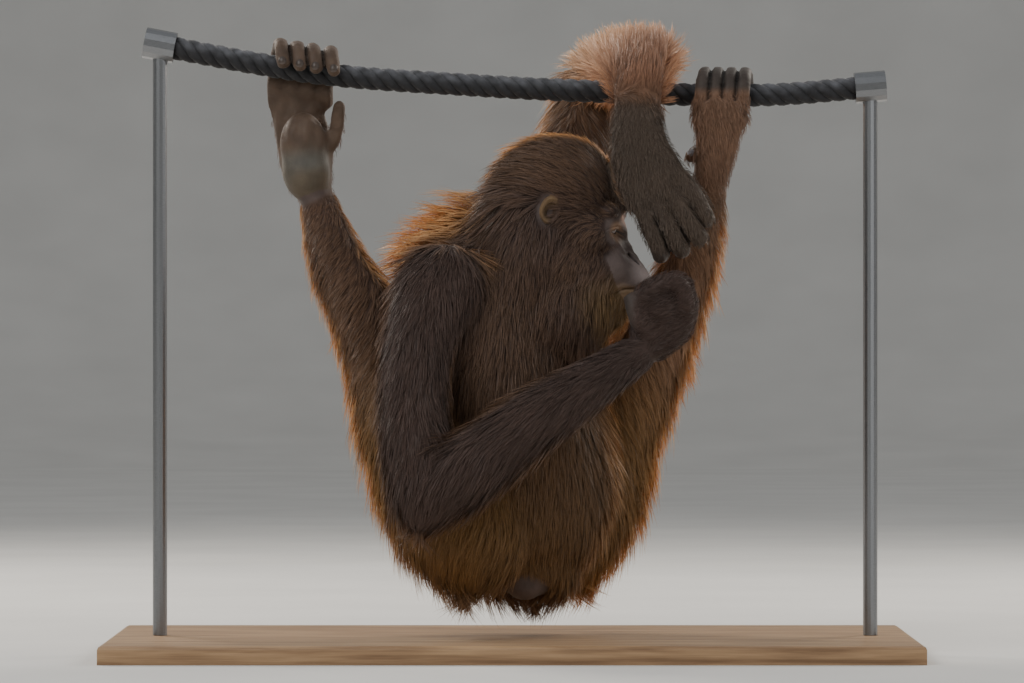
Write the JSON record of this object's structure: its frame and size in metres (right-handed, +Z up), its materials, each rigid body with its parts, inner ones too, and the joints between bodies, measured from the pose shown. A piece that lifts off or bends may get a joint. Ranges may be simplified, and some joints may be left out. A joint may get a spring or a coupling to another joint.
{
  "type": "orangutan display model",
  "caption": "Young orangutan as a still, life-size model, hanging by both feet and an arm from a short cut rope on a plain rod stand.",
  "frame": {"origin": "middle of the flat underside of the stand's base, on the floor", "axes": "+X to the right as the picture shows it, along the rope; +Y away from the camera; +Z up"},
  "size_m": [0.88, 0.4599, 0.7026],
  "materials": {
    "coat_dark": "long dark grey-brown hair with rusty tips",
    "coat_red": "long reddish brown hair with golden tips",
    "coat_olive": "long olive to orange-brown hair with golden tips",
    "skin_bare": "bare grey-brown skin, matt and finely creased",
    "skin_dark": "dark skin under short thin hair",
    "eye": "glossy dark brown eye",
    "nail": "dull dark nail",
    "rope": "weathered charcoal twisted rope, dusty on top",
    "stand_wood": "plain pale oiled wood",
    "stand_metal": "satin steel"
  },
  "bodies": {
    "root": {"torso": "coat_olive", "neck": "coat_dark", "head": "coat_dark", "ear_right": "skin_bare", "ear_left": "skin_bare", "eye_right": "eye", "eye_left": "eye", "upper_arm_right": "coat_dark", "forearm_right": "coat_dark", "hand_right": "skin_dark", "upper_arm_left": "coat_dark", "forearm_left": "coat_red", "hand_left": "skin_dark", "thigh_right": "coat_olive", "shank_right": "coat_red", "foot_right": "skin_bare", "thigh_left": "coat_olive", "shank_left": "coat_red", "foot_left": "skin_dark", "perch_rope": "rope", "stand_base": "stand_wood", "stand_rod_left": "stand_metal", "stand_rod_right": "stand_metal"}
  },
  "joints": []
}
